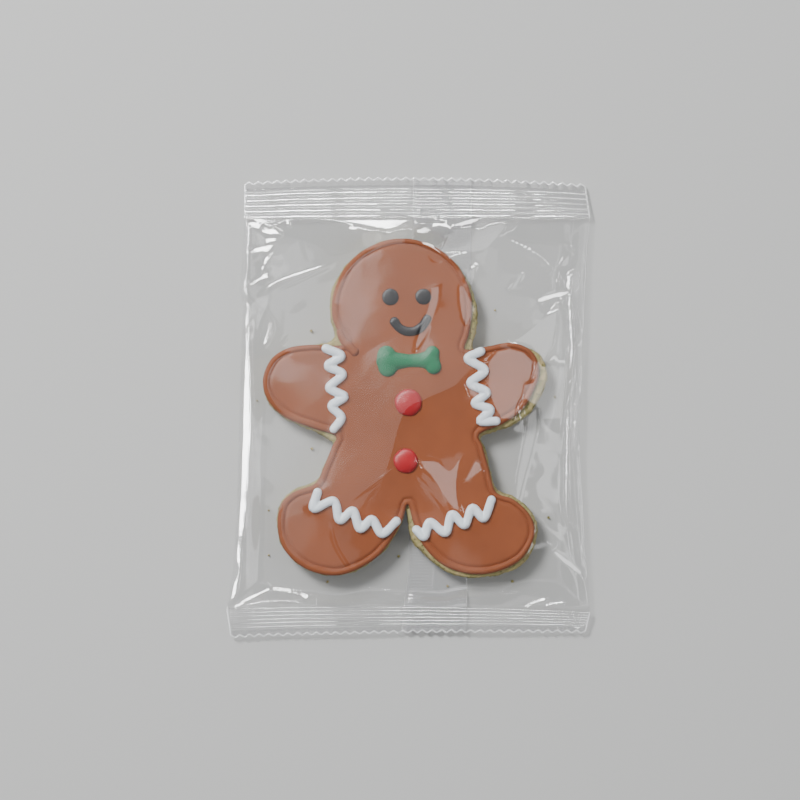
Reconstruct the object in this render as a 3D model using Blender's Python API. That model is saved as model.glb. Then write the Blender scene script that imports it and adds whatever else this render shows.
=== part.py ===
"""Iced gingerbread-man dog biscuit, sealed in a clear flow-wrap bag.

The sealed bag is one closed solid in its true outer form: it lies on its back, puffed with a
little air, with its film stretched over the biscuit inside. Its ends are crimped flat and cut
in a zigzag, and its back seam lies folded flat underneath. +X is the biscuit's left hand side
as seen from above, +Y points past its head and +Z is up. The origin is on the floor, under the
middle of the bag.
"""

import math

import bmesh
import bpy
import numpy as np

MM = 0.001

# The bag, measured over the tips of its teeth and across its widest corners.
BAG_LENGTH = 148.2 * MM
BAG_WIDTH = 116.6 * MM

# The crimped ends: flat bands pressed with ribs and cut in a zigzag. A seal's inner edge is its
# distance from the middle of the bag at the left fold, halfway and at the right fold. Its cut
# edge is how far short of the bag's full length it ends at the same three places.
TOOTH_COUNT = 37
TOOTH_DEPTH = 1.0 * MM
HEAD_SEAL_INNER = (61.0 * MM, 61.4 * MM, 61.2 * MM)
HEAD_SEAL_SHORT = (1.6 * MM, 0.0, 2.2 * MM)
HEAD_SEAL_RIBS = 5
FOOT_SEAL_INNER = (64.8 * MM, 64.2 * MM, 66.0 * MM)
FOOT_SEAL_SHORT = (0.0, 1.5 * MM, 1.5 * MM)
FOOT_SEAL_RIBS = 6
ROWS_PER_RIB = 2
RIB_HEIGHT = 0.3 * MM
SEAL_THICKNESS = 0.8 * MM

# The middle of the film's thickness stands this high: along a seal's inner edge, along its cut
# edge, which waves up and down, and halfway along the side folds.
SEAL_LIFT = 3.0 * MM
SEAL_EDGE_LIFT = 1.6 * MM
SEAL_WAVE = 0.6 * MM
SEAL_WAVES_ACROSS = 2.5
HEAD_WAVE_START = 0.6
FOOT_WAVE_START = 2.4
FOLD_LIFT = 3.8 * MM

# The long sides are folds in the film. Each is a few stations from foot to head: (y, x).
LEFT_FOLD = (
    (-74.1 * MM, -57.0 * MM),
    (-64.8 * MM, -BAG_WIDTH / 2),
    (-52.0 * MM, -56.1 * MM),
    (-29.6 * MM, -54.8 * MM),
    (2.4 * MM, -53.9 * MM),
    (33.0 * MM, -52.9 * MM),
    (37.6 * MM, -53.9 * MM),
    (61.0 * MM, -52.6 * MM),
    (72.5 * MM, -52.6 * MM),
)
RIGHT_FOLD = (
    (-72.6 * MM, 56.9 * MM),
    (-66.0 * MM, BAG_WIDTH / 2),
    (-42.4 * MM, 56.6 * MM),
    (-13.6 * MM, 55.0 * MM),
    (18.4 * MM, 55.9 * MM),
    (47.2 * MM, 57.2 * MM),
    (61.2 * MM, BAG_WIDTH / 2),
    (71.9 * MM, 56.9 * MM),
)

# The pillow between the seals: air lifts the front film and weight presses the back film flat.
# A pressure is the curvature it gives to a free sheet, in 1/m, as load over tension.
BODY_ROWS = 42
FRONT_PRESSURE = 4.0
BACK_PRESSURE = 26.0
RELAX_STEPS = 4000

# Pleats that run into the bag from both seals and die away.
PUCKER_HEIGHT = 0.5 * MM
PUCKER_REACH = 16.0 * MM
PUCKERS_ACROSS = 9
PUCKER_DRIFT = 2.0

# The back seam: a band of doubled film, folded flat against the back from head to foot. Its two
# edges follow columns of the grid, and the film beside it stands off the floor.
SEAM_COLUMNS = (18, 25)
SEAM_STEP = 0.4 * MM

# The iced biscuit under the film: round-ended limbs as (x, y, radius) at both ends.
ICING_TOP = 9.4 * MM
ICING_EDGE = 2.5 * MM
HEAD = ((-1.3 * MM, 31.6 * MM, 22.3 * MM), (-1.3 * MM, 32.2 * MM, 22.3 * MM))
TORSO = ((-0.3 * MM, 7.0 * MM, 19.5 * MM), (-0.5 * MM, -19.0 * MM, 25.5 * MM))
LEFT_ARM = ((-33.7 * MM, 8.2 * MM, 12.2 * MM), (-20.2 * MM, 1.8 * MM, 12.2 * MM))
RIGHT_ARM = ((32.2 * MM, 8.8 * MM, 12.0 * MM), (19.8 * MM, 3.0 * MM, 12.0 * MM))
LEFT_LEG = ((-27.8 * MM, -39.5 * MM, 13.8 * MM), (-12.2 * MM, -23.2 * MM, 13.8 * MM))
RIGHT_LEG = ((27.4 * MM, -40.2 * MM, 13.8 * MM), (13.4 * MM, -24.8 * MM, 13.8 * MM))
LIMBS = (HEAD, TORSO, LEFT_ARM, RIGHT_ARM, LEFT_LEG, RIGHT_LEG)

# Icing details that hold the film up: the two buttons and the two lobes of the bow.
BUTTONS = ((-0.1 * MM, 1.6 * MM, 4.3 * MM), (-0.9 * MM, -16.9 * MM, 3.9 * MM))
BOW_LOBES = ((-7.2 * MM, 14.6 * MM, 4.4 * MM), (7.4 * MM, 15.2 * MM, 4.0 * MM))
DETAIL_HEIGHT = 2.2 * MM

# The grid starts flat, from -1 to 1 each way, and only its two end rows lie beyond this.
END_OF_GRID = 0.9999

COLLECTION_NAME = "gingerbread_dog_treat"
BAG_NAME = "bag"
FILM_COLOUR = (0.80, 0.62, 0.52, 1.0)
FILM_ROUGHNESS = 0.12
SHARP_ANGLE = math.radians(40)


def clear_scene():
    """Remove every object that the file opened with."""
    for item in list(bpy.data.objects):
        bpy.data.objects.remove(item, do_unlink=True)


def bent(values, across):
    """A gentle curve through three values: at the left fold, halfway and at the right fold."""
    left, middle, right = values
    straight = left + (right - left) * across
    return straight + (middle - (left + right) / 2) * 4 * across * (1 - across)


def fold_x(stations, y):
    """Where a side fold runs at the height y of the bag."""
    return np.interp(y, [station[0] for station in stations], [station[1] for station in stations])


def bag_rows():
    """The rows of the grid from foot to head: the zone each lies in, and how far along it.

    A seal's rows count outwards from its inner edge.
    """
    foot_steps = FOOT_SEAL_RIBS * ROWS_PER_RIB
    head_steps = HEAD_SEAL_RIBS * ROWS_PER_RIB
    rows = [("foot", 1 - step / foot_steps) for step in range(foot_steps)]
    rows += [("body", step / BODY_ROWS) for step in range(BODY_ROWS + 1)]
    rows += [("head", (step + 1) / head_steps) for step in range(head_steps)]
    return rows


def plan(rows, across):
    """The bag seen from above: x and y of every point of the grid."""
    foot_inner = -bent(FOOT_SEAL_INNER, across)
    head_inner = bent(HEAD_SEAL_INNER, across)
    valley = BAG_LENGTH / 2 - TOOTH_DEPTH
    zones = {
        "foot": (foot_inner, bent(FOOT_SEAL_SHORT, across) - valley),
        "body": (foot_inner, head_inner),
        "head": (head_inner, valley - bent(HEAD_SEAL_SHORT, across)),
    }
    y = np.array([zones[zone][0] * (1 - along) + zones[zone][1] * along for zone, along in rows])
    left = fold_x(LEFT_FOLD, y)
    right = fold_x(RIGHT_FOLD, y)
    return left + (right - left) * across, y


def to_limb(x, y, limb):
    """The distance from a limb's side: less than zero inside it."""
    (ax, ay, ar), (bx, by, br) = limb
    length_squared = (bx - ax) ** 2 + (by - ay) ** 2
    along = np.clip(((x - ax) * (bx - ax) + (y - ay) * (by - ay)) / length_squared, 0, 1)
    radius = ar + (br - ar) * along
    return np.hypot(x - ax - (bx - ax) * along, y - ay - (by - ay) * along) - radius


def dome(x, y, spot, height):
    """A round drop of icing of the given height."""
    centre_x, centre_y, radius = spot
    out = np.hypot(x - centre_x, y - centre_y) / radius
    return height * np.sqrt(np.clip(1 - out ** 2, 0, 1))


def biscuit_top(x, y):
    """The height of the iced biscuit, and zero beside it."""
    inside = -np.min([to_limb(x, y, limb) for limb in LIMBS], axis=0)
    edge = np.clip(inside / ICING_EDGE, 0, 1)
    top = ICING_TOP * np.sqrt(1 - (1 - edge) ** 2)
    for spot in BUTTONS + BOW_LOBES:
        top = top + dome(x, y, spot, DETAIL_HEIGHT)
    return top


def relaxed(height, support, lift):
    """A sheet held at its border, settled between the lift of the air and what supports it.

    lift is the height that each step of the sheet's own spacing adds, and is less than zero
    where weight presses the sheet down.
    """
    sheet = height.copy()
    for _ in range(RELAX_STEPS):
        middle = (sheet[:-2, 1:-1] + sheet[2:, 1:-1] + sheet[1:-1, :-2] + sheet[1:-1, 2:]) / 4
        sheet[1:-1, 1:-1] = np.maximum(middle + lift, support[1:-1, 1:-1])
    return sheet


def resting_line(rows, across):
    """The height of the middle of the film where it is held: at the seals and the side folds."""
    height = []
    for zone, along in rows:
        if zone == "body":
            side = SEAL_LIFT + (FOLD_LIFT - SEAL_LIFT) * math.sin(math.pi * along)
            height.append(np.full_like(across, side))
        else:
            start = HEAD_WAVE_START if zone == "head" else FOOT_WAVE_START
            wave = SEAL_WAVE * np.sin(SEAL_WAVES_ACROSS * math.tau * across + start)
            height.append(SEAL_LIFT + (SEAL_EDGE_LIFT - SEAL_LIFT + wave) * along)
    return np.array(height)


def puckers(rows, y, across):
    """The height of the pleats at every point of the grid."""
    to_seal = np.array([min(along, 1 - along) if zone == "body" else 0 for zone, along in rows])
    fade = np.exp(-to_seal * (BAG_LENGTH / PUCKER_REACH))[:, np.newaxis]
    drift = PUCKER_DRIFT * np.sin(y / PUCKER_REACH)
    wave = np.sin(math.tau * PUCKERS_ACROSS * across + drift)
    return PUCKER_HEIGHT * fade * wave * np.sin(math.pi * across)


def sheet_heights(rows, x, y, across):
    """Heights of the front and the back of the bag at every point of the grid."""
    middle = resting_line(rows, across)
    front = middle + SEAL_THICKNESS / 2
    back = middle - SEAL_THICKNESS / 2
    foot_steps = FOOT_SEAL_RIBS * ROWS_PER_RIB
    body = slice(foot_steps, foot_steps + BODY_ROWS + 1)

    cell = (BAG_WIDTH / TOOTH_COUNT) ** 2 / 4
    support = biscuit_top(x, y)
    front[body] = relaxed(front[body], support[body], FRONT_PRESSURE * cell)
    back[body] = relaxed(back[body], np.zeros_like(x[body]), -BACK_PRESSURE * cell)

    inside = slice(body.start + 1, body.stop - 1)
    free = np.clip((front - support) / ICING_TOP, 0, 1)
    front[inside] += (puckers(rows, y, across) * free)[inside]
    return front, back


def crimp(rows, front, back):
    """Press the ribs into both faces of the seals."""
    for index, (zone, along) in enumerate(rows):
        if zone != "body":
            ribs = HEAD_SEAL_RIBS if zone == "head" else FOOT_SEAL_RIBS
            rib = RIB_HEIGHT / 2 * math.cos(math.tau * ribs * along)
            front[index] += rib
            back[index] += rib


def fold_seam(back):
    """Step the back up beside the flat back seam, which itself lies on the floor."""
    left, right = SEAM_COLUMNS
    back[:, left - 1] += SEAM_STEP
    back[:, right + 1] += SEAM_STEP


def place(verts, layers):
    """Move points of the flat grid to their places on one face of the bag.

    A point halfway between two columns is the tip of a tooth.
    """
    rows, columns = layers[0].shape
    steps = np.arange(columns)
    for vert in verts:
        column = (vert.co.x + 1) / 2 * (columns - 1)
        row = round((vert.co.y + 1) / 2 * (rows - 1))
        spot = [np.interp(column, steps, layer[row]) for layer in layers]
        if abs(column - round(column)) > 0.25:
            spot[1] += math.copysign(TOOTH_DEPTH, vert.co.y)
        vert.co = spot


def bag_mesh(x, y, front, back):
    """A flat grid with toothed ends, extruded into the front and the back of the bag."""
    rows, columns = x.shape
    mesh = bmesh.new()
    bmesh.ops.create_grid(mesh, x_segments=columns - 1, y_segments=rows - 1, size=1.0)
    ends = [edge for edge in mesh.edges if all(abs(vert.co.y) > END_OF_GRID for vert in edge.verts)]
    bmesh.ops.subdivide_edges(mesh, edges=ends, cuts=1)
    back_verts = list(mesh.verts)
    extruded = bmesh.ops.extrude_face_region(mesh, geom=list(mesh.faces))["geom"]
    front_verts = [item for item in extruded if isinstance(item, bmesh.types.BMVert)]
    place(front_verts, (x, y, front))
    place(back_verts, (x, y, back))
    bmesh.ops.recalc_face_normals(mesh, faces=mesh.faces)
    return mesh


def film_material():
    """Clear film over brown icing, as one plain finish for the solid."""
    material = bpy.data.materials.new("clear_film")
    material.use_nodes = True
    surface = material.node_tree.nodes["Principled BSDF"]
    surface.inputs["Base Color"].default_value = FILM_COLOUR
    surface.inputs["Roughness"].default_value = FILM_ROUGHNESS
    surface.inputs["Metallic"].default_value = 0.0
    return material


def make_bag():
    """The sealed bag as one closed solid."""
    rows = bag_rows()
    across = np.linspace(0, 1, TOOTH_COUNT + 1)
    x, y = plan(rows, across)
    front, back = sheet_heights(rows, x, y, across)
    crimp(rows, front, back)
    fold_seam(back)
    mesh = bag_mesh(x, y, front, np.maximum(back, 0))
    data = bpy.data.meshes.new(BAG_NAME)
    mesh.to_mesh(data)
    mesh.free()
    data.shade_smooth()
    data.set_sharp_from_angle(angle=SHARP_ANGLE)
    data.materials.append(film_material())
    return bpy.data.objects.new(BAG_NAME, data)


clear_scene()
collection = bpy.data.collections.new(COLLECTION_NAME)
bpy.context.scene.collection.children.link(collection)
collection.objects.link(make_bag())
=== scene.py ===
import math

import bmesh
import bpy
import numpy as np
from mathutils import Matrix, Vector, noise
from mathutils.bvhtree import BVHTree


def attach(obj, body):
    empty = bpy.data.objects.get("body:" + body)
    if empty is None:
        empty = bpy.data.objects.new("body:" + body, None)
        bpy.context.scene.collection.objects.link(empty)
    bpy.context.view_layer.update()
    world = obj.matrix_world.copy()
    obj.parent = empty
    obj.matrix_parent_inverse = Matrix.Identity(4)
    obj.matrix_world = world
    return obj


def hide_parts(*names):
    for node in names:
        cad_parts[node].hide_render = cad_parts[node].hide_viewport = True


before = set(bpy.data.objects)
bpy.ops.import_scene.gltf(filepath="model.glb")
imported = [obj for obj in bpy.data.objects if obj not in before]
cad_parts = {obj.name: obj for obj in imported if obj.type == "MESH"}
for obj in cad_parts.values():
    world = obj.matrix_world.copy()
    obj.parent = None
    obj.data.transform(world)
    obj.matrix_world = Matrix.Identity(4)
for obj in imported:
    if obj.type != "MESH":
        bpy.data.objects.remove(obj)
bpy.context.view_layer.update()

MM = 0.001

# ------------------------------------------------------------------------------------------
# The place it lies in: a sheet of pale paper under a soft lamp, high on the head's left side. The
# film mirrors faint glows from above and bright windows from the sides. The camera looks down.
# ------------------------------------------------------------------------------------------
CAMERA_HEIGHT = 0.9
CAMERA_TARGET = 5 * MM
VIEW_CENTRE = (-2.64 * MM, 2.4 * MM)
VIEW_WIDTH = 256.0 * MM
SENSOR = 36.0
FLOOR_SIZE = 6.0
FLOOR_COLOUR = (0.53, 0.53, 0.52, 1)
FLOOR_ROUGHNESS = 0.9
ROOM_COLOUR = (0.75, 0.78, 0.82, 1)
ROOM_BRIGHTNESS = 0.28


def new_material(name, colour, roughness):
    """A material with its Principled shader, and the node tree to add to."""
    material = bpy.data.materials.new(name)
    material.use_nodes = True
    shader = material.node_tree.nodes["Principled BSDF"]
    shader.inputs["Base Color"].default_value = colour
    shader.inputs["Roughness"].default_value = roughness
    return material, material.node_tree, shader


def add_object(name, mesh, material, smooth=True):
    """Turn a bmesh into an object of the scene with one material."""
    data = bpy.data.meshes.new(name)
    mesh.to_mesh(data)
    mesh.free()
    if smooth:
        data.shade_smooth()
    data.materials.append(material)
    piece = bpy.data.objects.new(name, data)
    bpy.context.scene.collection.objects.link(piece)
    return piece


def add_light(name, size, power, place, lights=True, mirrored=True):
    """A soft light that faces the object, of a width and a height, with its width level.

    Some of them only light the object, and some are only seen mirrored in it.
    """
    lamp = bpy.data.lights.new(name, "AREA")
    lamp.shape = "RECTANGLE"
    lamp.size, lamp.size_y = size
    lamp.energy = power
    light = bpy.data.objects.new(name, lamp)
    light.location = place
    light.rotation_euler = (-Vector(place)).to_track_quat("-Z", "Y").to_euler()
    light.visible_diffuse = lights
    light.visible_glossy = mirrored
    bpy.context.scene.collection.objects.link(light)
    return light


camera_data = bpy.data.cameras.new("camera")
camera_data.sensor_width = SENSOR
camera_data.lens = SENSOR * CAMERA_HEIGHT / VIEW_WIDTH
camera_data.clip_start = 0.01
camera = bpy.data.objects.new("camera", camera_data)
camera.location = (*VIEW_CENTRE, CAMERA_HEIGHT + CAMERA_TARGET)
bpy.context.scene.collection.objects.link(camera)
bpy.context.scene.camera = camera

floor_mesh = bmesh.new()
bmesh.ops.create_grid(floor_mesh, x_segments=1, y_segments=1, size=FLOOR_SIZE / 2)
paper = new_material("pale_paper", FLOOR_COLOUR, FLOOR_ROUGHNESS)[0]
floor = add_object("floor", floor_mesh, paper, smooth=False)

# Each light has its width and height in metres, its power in watts and its place in metres.
add_light("key", (0.35, 0.35), 24.0, (-0.55, 0.62, 1.05), mirrored=False)
# The glows that lie on the biscuit as a faint haze, and the weaker light from the right.
add_light("ceiling", (1.0, 0.27), 0.65, (-0.07, 0.067, 1.3), lights=False)
add_light("overhead", (1.0, 0.4), 1.8, (-0.3, 0.283, 1.3))
add_light("overhead_core", (0.3, 0.14), 0.21, (-0.195, 0.178, 1.27), lights=False)
add_light("foot_glow", (0.3, 0.2), 0.075, (-0.07, -0.36, 1.3), lights=False)
add_light("right_fill", (0.6, 0.6), 4.0, (1.0, -0.3, 0.9))
# The windows that make the white streaks in the film's steep places. The last one is mirrored in
# the seals alone, which are linked to it once they are made.
add_light("window", (3.5, 0.3), 270.0, (-1.025, 1.025, 0.55), lights=False)
add_light("far_window", (1.3, 0.12), 5.0, (1.25, 0.12, 0.45), lights=False)
add_light("window_end", (0.7, 0.3), 24.0, (0.8, 1.82, 0.55), lights=False)
foot_window = add_light("foot_window", (2.4, 0.2), 34.0, (0.0, -0.95, 1.2), lights=False)
world = bpy.data.worlds.new("studio")
world.use_nodes = True
world.node_tree.nodes["Background"].inputs["Color"].default_value = ROOM_COLOUR
world.node_tree.nodes["Background"].inputs["Strength"].default_value = ROOM_BRIGHTNESS
bpy.context.scene.world = world

# ------------------------------------------------------------------------------------------
# The baked base: an olive-tan dough of meal and herbs, rolled out and cut with a gingerbread-man
# cutter. It lies on the bag's back film. Its sides are rough and crumbly, its top is hidden.
# ------------------------------------------------------------------------------------------
BASE_OUTLINE = (
    (-1.6, 53.7), (4.2, 53.0), (11.3, 49.6), (17.0, 44.0), (20.6, 37.0), (21.9, 30.2), (21.6, 24.5),
    (20.9, 18.9),
    (26.2, 19.5), (33.5, 20.3), (40.6, 17.8), (44.1, 13.0), (43.8, 6.9), (39.3, -1.3), (31.9, -6.4),
    (23.4, -9.1), (24.7, -13.3), (26.3, -20.0), (28.4, -26.4), (34.2, -28.8), (39.6, -33.9),
    (41.2, -40.8), (37.4, -49.1), (29.4, -53.4), (20.4, -54.4), (12.7, -52.8), (6.3, -48.2),
    (1.2, -42.4), (-0.2, -36.0), (-1.0, -32.8), (-2.0, -37.0), (-7.4, -45.4), (-15.1, -51.5),
    (-23.4, -53.9), (-32.4, -51.8), (-39.0, -46.7), (-41.8, -39.8), (-41.2, -31.8), (-36.9, -26.6),
    (-29.2, -23.2), (-27.0, -18.7), (-24.6, -13.3), (-24.7, -10.6), (-30.8, -7.4), (-39.4, -3.7),
    (-44.7, 1.8), (-46.5, 8.5), (-43.9, 15.2), (-38.5, 18.7), (-31.4, 19.8), (-23.8, 22.1),
    (-25.0, 29.6), (-24.4, 37.0), (-20.9, 44.1), (-15.2, 49.7), (-8.0, 53.1),
)
BASE_BOTTOM = 0.5 * MM
BASE_TOP = 7.6 * MM
OUTLINE_STEP = 0.45 * MM
# A curve is first worked out in this many steps from point to point, and has at least these in all.
CURVE_STEPS = 40
LEAST_STEPS = 4
# How far in from the outline in mm, and how high between bottom and top, each ring of the base is.
BASE_RINGS = (
    (6.0, 0.0), (4.5, 0.0), (3.2, 0.0), (2.2, 0.0), (1.4, 0.0), (0.8, 0.01), (0.35, 0.04), (0.1, 0.1),
    (0.0, 0.17), (0.0, 0.25), (0.0, 0.33), (0.0, 0.41), (0.0, 0.49), (0.0, 0.57), (0.0, 0.65),
    (0.0, 0.73), (0.02, 0.8), (0.1, 0.87), (0.25, 0.93), (0.5, 0.97), (0.9, 0.99), (1.4, 1.0),
    (1.9, 1.0), (2.5, 1.0), (3.2, 1.0), (4.5, 1.0),
)
# The relief goes no lower than the film under the base, and hardly higher than the base's top.
BASE_LOWEST = 0.3 * MM
BASE_HIGHEST = BASE_TOP + 0.1 * MM
CRUMB_SIZE = 1.15 * MM
CRUMB_RELIEF = 0.55 * MM
CRUMB_LEVEL = 0.45
CRUMB_GAP = 1.3
LUMP_SIZE = 4.0 * MM
LUMP_RELIEF = 0.45 * MM
GRID_STEP = 1.6 * MM
DOUGH_TAN = (0.45, 0.36, 0.17, 1)
DOUGH_OLIVE = (0.33, 0.30, 0.11, 1)
DOUGH_SPECK = (0.14, 0.12, 0.04, 1)
SPECK_SHARE = 0.3
SPECK_BLUR = 0.08
DOUGH_ROUGHNESS = 0.9


def spline(points, step, closed):
    """Even steps along a smooth curve through points: their places, in the points' units."""
    points = np.array(points, float)
    count = len(points)
    if closed:
        padded = np.vstack([points[-1], points, points[0], points[1]])
    else:
        padded = np.vstack([2 * points[0] - points[1], points, 2 * points[-1] - points[-2]])
        count -= 1
    fine = []
    share = np.linspace(0, 1, CURVE_STEPS, endpoint=False)[:, np.newaxis]
    for index in range(count):
        before, start, end, after = padded[index:index + 4]
        fine.append(0.5 * (2 * start + (end - before) * share
                           + (2 * before - 5 * start + 4 * end - after) * share ** 2
                           + (3 * start - before - 3 * end + after) * share ** 3))
    fine = np.vstack(fine + [points[:1] if closed else points[-1:]])
    lengths = np.concatenate([[0], np.cumsum(np.linalg.norm(np.diff(fine, axis=0), axis=1))])
    steps = max(LEAST_STEPS, round(lengths[-1] / step))
    wanted = np.linspace(0, lengths[-1], steps + 1)
    if closed:
        wanted = wanted[:-1]
    return np.column_stack([np.interp(wanted, lengths, fine[:, axis]) for axis in range(fine.shape[1])])


def outward(loop):
    """The unit normals of a clockwise closed loop, pointing away from what it holds."""
    ahead = np.roll(loop, -2, axis=0) - np.roll(loop, 2, axis=0)
    ahead /= np.linalg.norm(ahead, axis=1)[:, np.newaxis]
    return np.column_stack([-ahead[:, 1], ahead[:, 0]])


def flat_grid(places):
    """A flat mesh with as many rows and columns as an array of row, column and coordinate."""
    rows, columns = places.shape[:2]
    mesh = bmesh.new()
    bmesh.ops.create_grid(mesh, x_segments=columns - 1, y_segments=rows - 1, size=1.0)
    return mesh


def spread_out(verts, places):
    """Move the vertices of a flat grid to their places."""
    rows, columns = places.shape[:2]
    for vert in verts:
        column = round((vert.co.x + 1) / 2 * (columns - 1))
        row = round((vert.co.y + 1) / 2 * (rows - 1))
        vert.co = places[row, column]


def shell(rings):
    """A closed skin over a stack of rings: an array of ring, point and coordinate."""
    around = np.concatenate([rings, rings[:, :1]], axis=1)
    mesh = flat_grid(around)
    spread_out(mesh.verts, around)
    bmesh.ops.remove_doubles(mesh, verts=mesh.verts, dist=1e-7)
    ends = [edge for edge in mesh.edges if edge.is_boundary]
    bmesh.ops.edgeloop_fill(mesh, edges=ends)
    bmesh.ops.recalc_face_normals(mesh, faces=mesh.faces)
    return mesh


def level_ring(loop, height):
    """A closed loop of places, all at one height."""
    return np.column_stack([loop, np.full(len(loop), height)])


def score(mesh, step):
    """Cut the mesh's two large end faces into a grid, so that they can take relief."""
    pieces = sorted(mesh.faces, key=lambda face: len(face.verts))[-2:]
    corners = [vert.co.copy() for vert in pieces[0].verts]
    for axis in (0, 1):
        start = min(corner[axis] for corner in corners) + step / 2
        for cut in np.arange(start, max(corner[axis] for corner in corners), step):
            plane = [0, 0, 0]
            plane[axis] = 1
            middle = [0, 0, 0]
            middle[axis] = cut
            parts = set(pieces)
            for face in pieces:
                parts.update(face.edges)
                parts.update(face.verts)
            cut_up = bmesh.ops.bisect_plane(mesh, geom=list(parts), plane_co=middle, plane_no=plane)
            pieces = [item for item in cut_up["geom"] if isinstance(item, bmesh.types.BMFace)]


def crumbly(place):
    """Relief of the baked dough: lumps, and packed crumbs with gaps between them."""
    lumps = noise.noise(place / LUMP_SIZE) * LUMP_RELIEF
    nearest = noise.voronoi(place / CRUMB_SIZE)[0][0]
    return lumps + (CRUMB_LEVEL - CRUMB_GAP * nearest) * CRUMB_RELIEF


def add_node(tree, kind, sockets, **settings):
    """A node of a shader tree with its settings. Its sockets get values, or other nodes' outputs."""
    node = tree.nodes.new(kind)
    for name, setting in settings.items():
        setattr(node, name, setting)
    for name, value in sockets.items():
        if isinstance(value, bpy.types.NodeSocket):
            tree.links.new(value, node.inputs[name])
        else:
            node.inputs[name].default_value = value
    return node


def dough_finish():
    """Baked dough: tan and olive mottling, dark specks of herb and a rough, mealy surface."""
    material, tree, shader = new_material("baked_dough", DOUGH_TAN, DOUGH_ROUGHNESS)
    shader.inputs["Specular IOR Level"].default_value = 0.1
    place = tree.nodes.new("ShaderNodeTexCoord").outputs["Object"]
    mottle = add_node(tree, "ShaderNodeTexNoise", {"Vector": place, "Scale": 650, "Detail": 4})
    spread = add_node(tree, "ShaderNodeMapRange", {
        "Value": mottle.outputs["Fac"], "From Min": 0.4, "From Max": 0.6})
    tones = add_node(tree, "ShaderNodeMix", {
        "Factor": spread.outputs["Result"], "A": DOUGH_TAN, "B": DOUGH_OLIVE}, data_type="RGBA")
    cells = add_node(tree, "ShaderNodeTexVoronoi", {"Vector": place, "Scale": 900})
    sparse = add_node(tree, "ShaderNodeMapRange", {
        "Value": cells.outputs["Distance"], "From Min": SPECK_SHARE, "From Max": SPECK_SHARE - SPECK_BLUR})
    specked = add_node(tree, "ShaderNodeMix", {
        "Factor": sparse.outputs["Result"], "A": tones.outputs["Result"], "B": DOUGH_SPECK},
        data_type="RGBA")
    grain = add_node(tree, "ShaderNodeTexNoise", {"Vector": place, "Scale": 2200, "Detail": 3})
    bump = add_node(tree, "ShaderNodeBump", {
        "Height": grain.outputs["Fac"], "Strength": 0.8, "Distance": 0.15 * MM})
    tree.links.new(specked.outputs["Result"], shader.inputs["Base Color"])
    tree.links.new(bump.outputs["Normal"], shader.inputs["Normal"])
    return material


base_loop = spline(BASE_OUTLINE, OUTLINE_STEP / MM, closed=True) * MM
base_out = outward(base_loop)
base_mesh = shell(np.array([
    level_ring(base_loop - base_out * inset * MM, BASE_BOTTOM + (BASE_TOP - BASE_BOTTOM) * rise)
    for inset, rise in BASE_RINGS]))
score(base_mesh, GRID_STEP)
base_mesh.normal_update()
for vert in base_mesh.verts:
    vert.co += vert.normal * crumbly(vert.co)
    vert.co.z = min(max(vert.co.z, BASE_LOWEST), BASE_HIGHEST)
dough = dough_finish()
base = add_object("baked_base", base_mesh, dough)
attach(base, "root")

# ------------------------------------------------------------------------------------------
# The crumbs: a few grains of the baked dough that came off the base's sides. They lie loose round
# it on the bag's back film.
# ------------------------------------------------------------------------------------------
# Each crumb's x, y and radius in mm.
CRUMBS = (
    (-25.9, -56.0, 0.4), (-3.1, -47.8, 0.45), (12.6, -57.4, 0.35), (33.5, -55.9, 0.45),
    (45.1, -35.4, 0.4), (-44.8, -47.5, 0.3), (-44.9, -33.1, 0.3), (-31.0, -13.2, 0.4),
    (27.9, 31.2, 0.35), (-31.2, 24.6, 0.45), (47.2, 3.4, 0.4), (-48.6, 2.2, 0.3),
)
# The height of the film that they lie on in mm, how high their middles are over it in radii, and
# how uneven they are for their size.
CRUMB_FLOOR = 0.42
CRUMB_SUNK = 0.8
CRUMB_ROUGH = 0.5
CRUMB_ROUGH_SIZE = 0.35 * MM

crumb_mesh = bmesh.new()
for crumb_x, crumb_y, crumb_radius in CRUMBS:
    centre = Vector((crumb_x, crumb_y, CRUMB_FLOOR + CRUMB_SUNK * crumb_radius)) * MM
    ball = bmesh.ops.create_icosphere(crumb_mesh, subdivisions=3, radius=crumb_radius * MM)
    for vert in ball["verts"]:
        rough = noise.noise((vert.co + centre) / CRUMB_ROUGH_SIZE)
        vert.co = centre + vert.co * (1 + CRUMB_ROUGH * rough)
crumbs = add_object("crumbs", crumb_mesh, dough)
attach(crumbs, "root")

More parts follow.
